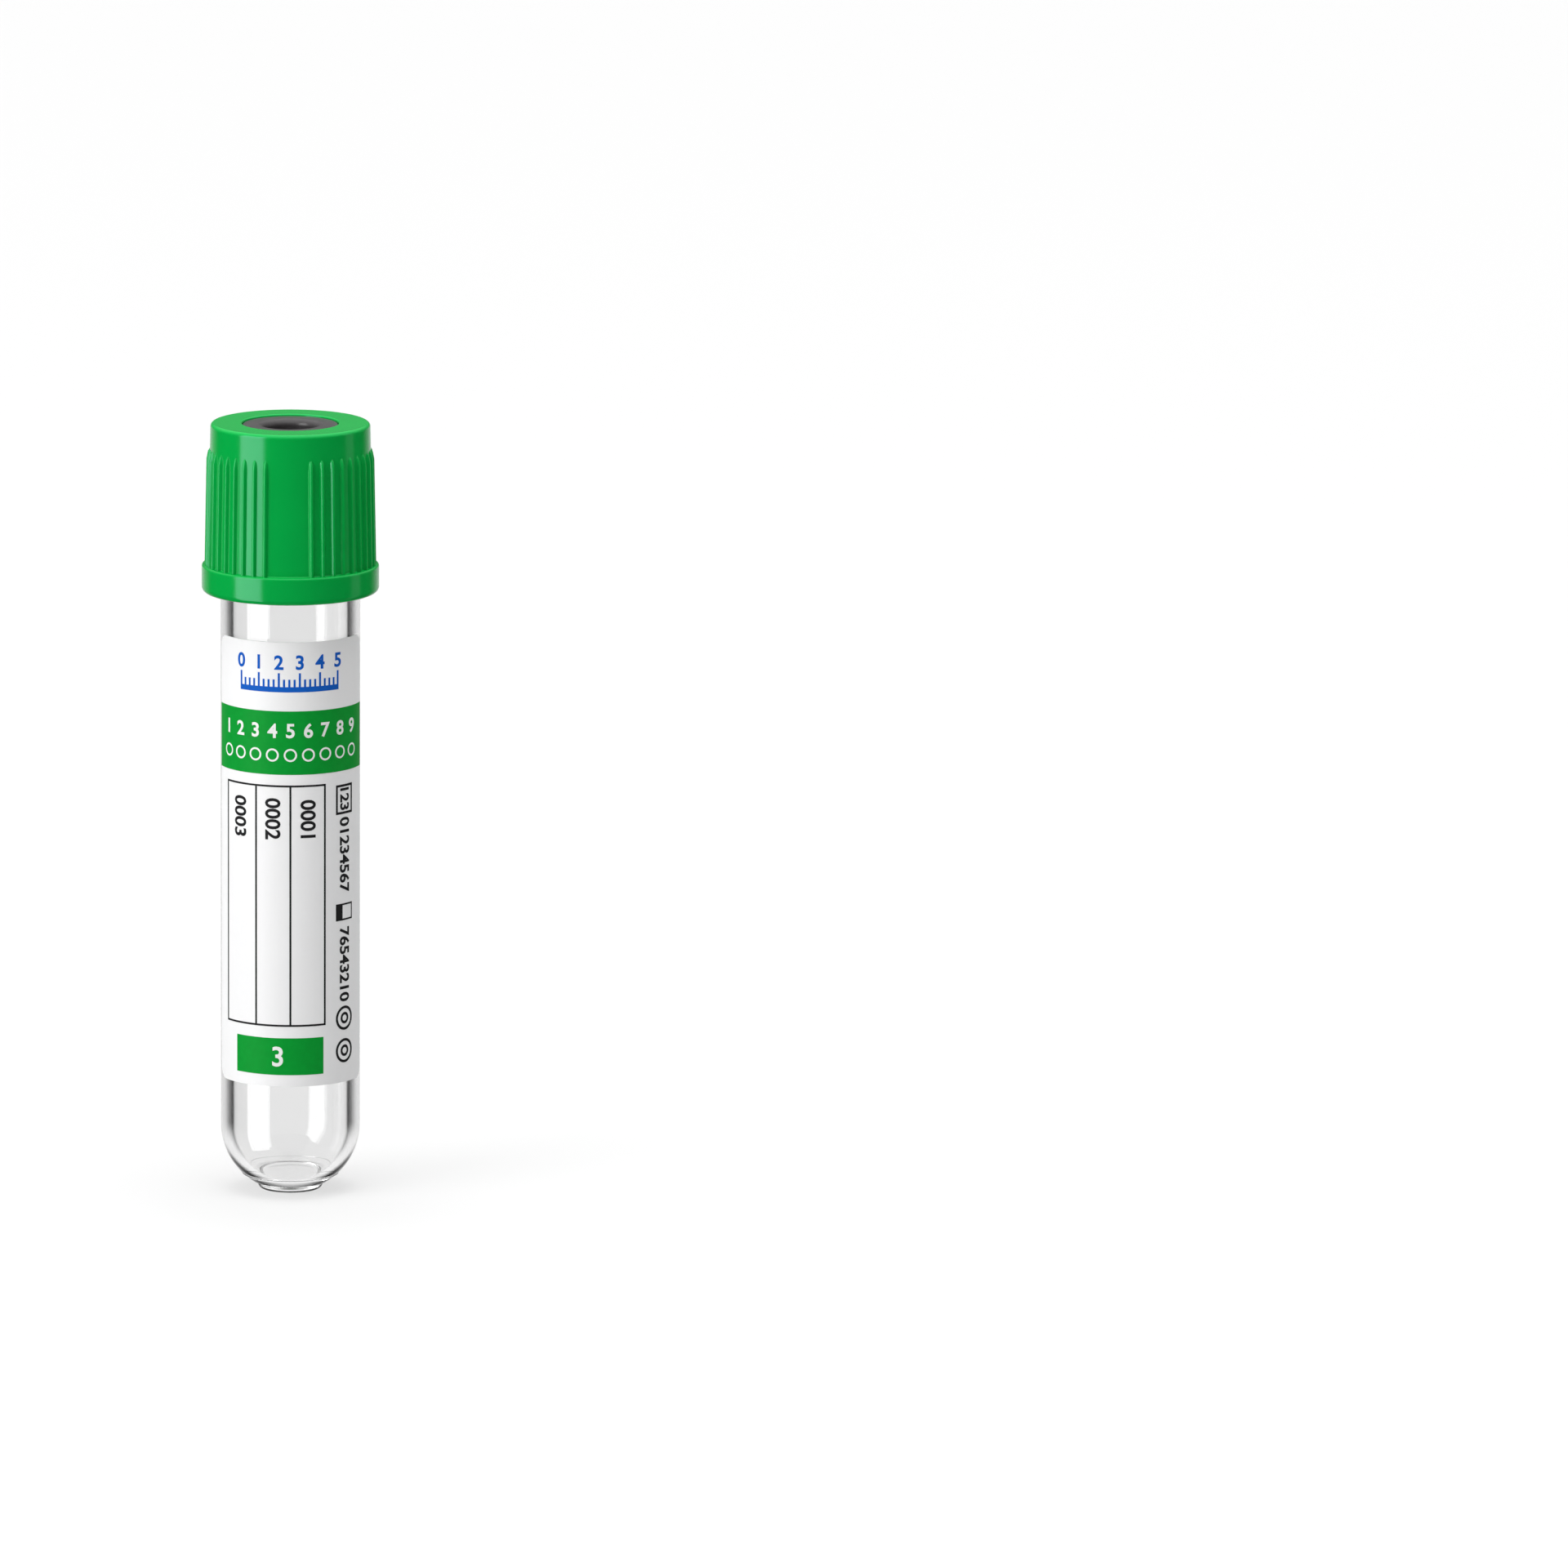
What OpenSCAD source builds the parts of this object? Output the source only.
// Blood collection tube, 3 mL: a clear moulded tube that stands on a small flat foot, closed by
// a rubber stopper held in a ribbed green cap, with a paper label pasted round its front.
// The origin is the centre of the foot. The label and the plain front of the cap face -Y.

/* [Tube] */
// Outer diameter of the tube
tube_d = 13; // [11:0.5:16]
// Thickness of the tube's wall
tube_wall = 1; // [0.6:0.1:1.4]
// Length from the foot to the mouth
tube_len = 68.6; // [60:0.1:100]
// Diameter of the flat foot
foot_d = 5.6; // [4:0.1:6.4]
// Height of the foot, up to the flat underside of the round end
foot_h = 0.75; // [0.5:0.05:1]
// Rounding of the foot's edge
foot_edge = 0.25; // [0.1:0.05:0.4]
// Depth to which the round end, if it were whole, would reach below the foot
foot_trim = 0.3; // [0:0.05:0.4]
// Height of the tube's floor above the bottom of the foot
floor_t = 1.8; // [1.2:0.1:3]
// Rounding of the mouth's edges
mouth_edge = 0.25; // [0.1:0.05:0.28]

/* [Stopper] */
// Radial clearance of the plug in the tube's mouth
plug_clearance = 0.05; // [0.02:0.01:0.1]
// Length of the plug below the mouth
plug_len = 8.6; // [6:0.1:9.8]
// Height of the plug's tapered end
plug_lead = 1.6; // [0.8:0.1:2.5]
// Inset of the plug's tapered end
plug_inset = 0.5; // [0.2:0.1:0.8]
// Thickness of the flange on the tube's mouth
flange_t = 2.5; // [1.5:0.1:4]
// Reach of the flange past the tube's outside
flange_over = 0.35; // [0.3:0.05:0.6]
// Diameter of the boss in the cap's opening
boss_d = 8.9; // [7.5:0.1:10]
// Depth of the boss's face below the top of the cap
boss_recess = 0.15; // [0.1:0.05:0.6]
// Diameter of the needle well
well_d = 5; // [4.2:0.1:6]
// Depth of the needle well below the boss's face
well_depth = 6; // [4:0.1:7]
// Radius of the well's rounded lip
well_lip = 0.8; // [0.3:0.1:1]
// Thickness of the membrane that the needle pierces
membrane_t = 2.6; // [1.5:0.1:4]
// Diameter of the hollow under the membrane
hollow_d = 7.2; // [5:0.1:8]

/* [Cap] */
// Height of the cap
cap_h = 15.9; // [13:0.1:20]
// Thickness of the cap's top round its opening
cap_top_t = 1.6; // [1:0.1:2.5]
// Thickness of the cap's wall round the stopper's flange
cap_wall = 0.55; // [0.4:0.05:1]
// Draft of the cap's outside, in degrees
cap_draft = 1.05; // [0.5:0.05:2]
// Angle of the cap's plain front from the front of the tube, in degrees
cap_turn = -1.6; // [-20:0.1:20]
// Clearance round the boss in the cap's opening
boss_gap = 0.05; // [0.02:0.01:0.2]
// Clearance round the stopper's flange
flange_gap = 0.05; // [0.02:0.01:0.1]
// Clearance of the snap bead round the tube
bead_gap = 0.2; // [0.15:0.05:0.25]
// Height of the snap bead under the flange
bead_h = 0.6; // [0.3:0.1:1]
// Clearance of the skirt round the tube
skirt_gap = 0.3; // [0.25:0.05:0.5]
// Rounding of the cap's top edge
cap_edge = 0.5; // [0.3:0.1:0.8]
// Height of the collar
collar_h = 2.6; // [2:0.1:4]
// Reach of the collar past the skirt
collar_over = 0.57; // [0.4:0.01:0.9]
// Rounding of the collar's lower edge
collar_edge = 0.5; // [0.2:0.1:0.9]
// Rounding of the collar's upper edge
collar_top_edge = 0.2; // [0.1:0.05:0.3]
// Number of plain panels round the cap, with a grip of ribs between each two
panels = 2; // [1:1:3]
// Number of ribs in each grip
grip_ribs = 19; // [5:1:19]
// Angle from one rib to the next, in degrees
rib_pitch = 8.19; // [6:0.01:8.3]
// Width of a rib at its root
rib_w = 0.52; // [0.3:0.02:0.7]
// Width of a rib at its crest
rib_crest = 0.2; // [0.1:0.02:0.28]
// Height of a rib
rib_h = 0.3; // [0.2:0.02:0.4]
// Distance of the ribs' points from the top of the cap
rib_drop = 2.4; // [2:0.1:4]
// Length over which a rib's point rises to its full height
rib_point = 1; // [0.6:0.1:2]

/* [Label] */
// Width of the label along its curve
label_w = 17.6; // [10:0.1:30]
// Height of the label
label_h = 42.1; // [30:0.1:44]
// Height of the label's lower edge above the foot
label_z = 11; // [8:0.1:12]
// Angle of the label's middle from the front, in degrees
label_turn = 1; // [-20:0.5:20]
// Thickness of the paper
label_t = 0.1; // [0.06:0.01:0.2]
// Thickness of the glue under the paper
glue_t = 0.02; // [0.01:0.01:0.05]
// Radius of the label's corners
label_corner = 1.2; // [0.4:0.1:2]
// Thickness of the printed ink
ink_t = 0.02; // [0.01:0.01:0.04]

/* [Print] */
// Height of the green band's lower edge above the label's
band_z = 29.6; // [25:0.1:32]
// Height of the green band
band_h = 6; // [3:0.1:8]
// Height of the form above the label's lower edge
form_z = 5.7; // [5:0.1:7]
// Height of the form
form_h = 22.9; // [15:0.1:23]
// Distance of the form's left side from the front
form_left = 7; // [6:0.1:7.5]
// Distance of the form's right side from the front
form_right = 3.35; // [2:0.1:4]
// Distance of the form's first dividing line from the front
form_divide = 3.33; // [2:0.1:5]
// Width of the form's lines
line_w = 0.2; // [0.1:0.05:0.3]
// Height of the volume box above the label's lower edge
box_z = 1.1; // [0.8:0.1:2]
// Height of the volume box
box_h = 3.5; // [2:0.1:3.8]
// Distance of the volume box's left side from the front
box_left = 5.6; // [4:0.1:6]
// Distance of the volume box's right side from the front
box_right = 3.2; // [2:0.1:4]

/* [Hidden] */
$fn = 96;
margin = 1;
front = -90;
// Tube
tube_r = tube_d / 2;
bore_r = tube_r - tube_wall;
foot_r = foot_d / 2;
dome_z = tube_r - foot_trim;
// Heights of the closure, from the mouth upwards
flange_top = tube_len + flange_t;
cap_top = flange_top + cap_top_t;
cap_bottom = cap_top - cap_h;
boss_top = cap_top - boss_recess;
plug_bottom = tube_len - plug_len;
well_floor = boss_top - well_depth;
hollow_top = well_floor - membrane_t;
// Radii of the closure, from the tube outwards
plug_r = bore_r - plug_clearance;
flange_r = tube_r + flange_over;
boss_r = boss_d / 2;
well_r = well_d / 2;
hollow_r = hollow_d / 2;
opening_r = boss_r + boss_gap;
pocket_r = flange_r + flange_gap;
bead_r = tube_r + bead_gap;
skirt_r = tube_r + skirt_gap;
rim_r = pocket_r + cap_wall;
collar_top = cap_bottom + collar_h;
ledge_r = rim_r + (cap_top - collar_top) * tan(cap_draft);
collar_r = ledge_r + collar_over;
skirt_chamfer = 0.25;
lip_edge = 0.15;
rib_root = 0.3;
// Label
paper_r = tube_r + glue_t;
face_r = paper_r + label_t;
ink_r = face_r + ink_t;
// The corners' arcs run a little past the label's edges, so that they cut them cleanly
corner_in = label_corner - 0.03;

// Points of a circular arc, from angle a0 to angle a1
function arc(x, y, r, a0, a1, steps = 6) =
    [for (i = [0:steps]) let (a = a0 + (a1 - a0) * i / steps) [x + r * cos(a), y + r * sin(a)]];

// Angle that a length along the label's face takes up
function turn_of(length) = length / face_r * 180 / PI;

// Clear tube: straight wall, round end, thick flat floor and small foot, moulded as one
module tube() {
    color([0.86, 0.9, 0.92, 0.4])
    difference() {
        union() {
            tube_outside();
            round_end();
            foot();
        }
        translate([0, 0, dome_z]) cylinder(r = bore_r, h = tube_len);
        intersection() {
            translate([0, 0, dome_z]) sphere(r = bore_r);
            translate([0, 0, floor_t]) cylinder(r = tube_r, h = tube_len);
        }
    }
}

// Straight wall with the mouth's rounded rim
module tube_outside() {
    rotate_extrude()
    polygon(concat(
        [[0, dome_z]],
        [[tube_r, dome_z]],
        arc(tube_r - mouth_edge, tube_len - mouth_edge, mouth_edge, 0, 90),
        [[0, tube_len]]
    ));
}

// Round end, cut flat above the foot
module round_end() {
    intersection() {
        translate([0, 0, dome_z]) sphere(r = tube_r);
        translate([0, 0, foot_h]) cylinder(r = tube_d, h = tube_len);
    }
}

// Disc under the round end, which the tube stands on
module foot() {
    rotate_extrude()
    polygon(concat(
        [[0, 0]],
        arc(foot_r - foot_edge, foot_edge, foot_edge, -90, 0),
        [[foot_r, dome_z / 2]],
        [[0, dome_z / 2]]
    ));
}

// Rubber stopper: plug in the bore, flange on the mouth, boss with the needle well
module stopper() {
    color([0.42, 0.4, 0.41])
    rotate_extrude()
    polygon(concat(
        [[0, hollow_top]],
        arc(hollow_r - plug_inset, hollow_top - plug_inset, plug_inset, 90, 0),
        [[hollow_r, plug_bottom]],
        [[plug_r - plug_inset, plug_bottom]],
        [[plug_r, plug_bottom + plug_lead]],
        [[plug_r, tube_len]],
        [[flange_r, tube_len]],
        [[flange_r, flange_top]],
        [[boss_r, flange_top]],
        arc(boss_r - lip_edge, boss_top - lip_edge, lip_edge, 0, 90),
        arc(well_r + well_lip, boss_top - well_lip, well_lip, 90, 180),
        [[well_r, well_floor]],
        [[0, well_floor]]
    ));
}

// Green cap: top ring, skirt with ribs that grip the fingers, and collar, moulded as one
module cap() {
    color([0, 0.58, 0.27]) {
        cap_shell();
        for (panel = [0:panels - 1])
            for (n = [0:grip_ribs - 1])
                rotate([0, 0, front + cap_turn + grip_middle(panel) + rib_angle(n)])
                rib();
    }
}

// Angle of a grip's middle from the plain front of the cap
function grip_middle(panel) = (panel + 0.5) * 360 / panels;

// Angle of a rib from the middle of its grip
function rib_angle(n) = (n - (grip_ribs - 1) / 2) * rib_pitch;

// Cap without its ribs
module cap_shell() {
    rotate_extrude()
    polygon(concat(
        [[skirt_r + skirt_chamfer, cap_bottom]],
        arc(collar_r - collar_edge, cap_bottom + collar_edge, collar_edge, -90, 0),
        arc(collar_r - collar_top_edge, collar_top - collar_top_edge, collar_top_edge, 0, 90, 4),
        [[ledge_r, collar_top]],
        arc(rim_r - cap_edge, cap_top - cap_edge, cap_edge, 0, 90),
        arc(opening_r + lip_edge, cap_top - lip_edge, lip_edge, 90, 180, 3),
        [[opening_r, flange_top]],
        [[pocket_r, flange_top]],
        [[pocket_r, tube_len]],
        [[bead_r, tube_len]],
        [[bead_r, tube_len - bead_h]],
        [[skirt_r, tube_len - 2 * bead_h]],
        [[skirt_r, cap_bottom + skirt_chamfer]]
    ));
}

// One rib on +X. It leans with the skirt, and sinks into it at the top in a point
module rib() {
    length = cap_top - collar_top - rib_drop;
    intersection() {
        translate([ledge_r, 0, collar_top])
        rotate([0, -cap_draft, 0])
        linear_extrude(height = length)
        rib_section(rib_root);
        translate([ledge_r - length * tan(cap_draft) - rib_h, 0, cap_top - rib_drop])
        rotate([0, 180 - atan(rib_h / rib_point) - cap_draft, 0])
        mirror([1, 0, 0])
        linear_extrude(height = length * 2)
        rib_section(length);
    }
}

// Cross-section of a rib that points to +X, with its root sunk into the skirt
module rib_section(sunk) {
    flare = (rib_w - rib_crest) / 2 / rib_h * sunk;
    polygon([
        [-sunk, -rib_w / 2 - flare],
        [rib_h, -rib_crest / 2],
        [rib_h, rib_crest / 2],
        [-sunk, rib_w / 2 + flare]
    ]);
}

// Paper label with its printed fields of colour
module label() {
    union() {
        color("white")
        difference() {
            field(label_turn, turn_of(label_w), 0, label_h, face_r);
            label_corners();
        }
        color([0.02, 0.6, 0.3])
        field(label_turn, turn_of(label_w), band_z, band_h, ink_r);
        color([0.02, 0.6, 0.3])
        field(turn_of(box_right - box_left) / 2, turn_of(box_left + box_right), box_z, box_h, ink_r);
        color([0.2, 0.2, 0.2]) form();
    }
}

// Piece of the label's sheet: middle angle, width in degrees, lower edge, height, outer radius
module field(middle, width, z, h, r) {
    translate([0, 0, label_z + z])
    rotate([0, 0, front + middle - width / 2])
    rotate_extrude(angle = width)
    translate([paper_r, 0])
    square([r - paper_r, h]);
}

// Ruled form: a frame with two dividing lines, which leaves three blank columns
module form() {
    sides = [-form_left, -form_divide, 0, form_right];
    difference() {
        field(turn_of(form_right - form_left) / 2, turn_of(form_left + form_right),
              form_z, form_h, ink_r);
        for (n = [0:2])
            column(sides[n], sides[n + 1]);
    }
}

// Blank column of the form, between the middles of its two ruled lines
module column(left, right) {
    translate([0, 0, label_z + form_z + line_w])
    rotate([0, 0, front + turn_of(left + line_w / 2)])
    rotate_extrude(angle = turn_of(right - left - line_w))
    translate([tube_r - margin, 0])
    square([2 * margin, form_h - 2 * line_w]);
}

// What the label's four rounded corners leave off
module label_corners() {
    half = turn_of(label_w / 2);
    for (side = [-1, 1])
        for (end = [0, 1])
            rotate([0, 0, front + label_turn + side * half])
            translate([tube_r - margin, 0, label_z + end * label_h])
            rotate([90, 0, 90])
            mirror([side == 1 ? 0 : 1, 0, 0])
            mirror([0, end == 1 ? 0 : 1, 0])
            linear_extrude(height = 2 * margin)
            polygon(concat(
                [[margin, -corner_in], [margin, margin], [-corner_in, margin]],
                arc(-corner_in, -corner_in, label_corner, 90, 0)
            ));
}

tube();
stopper();
cap();
label();
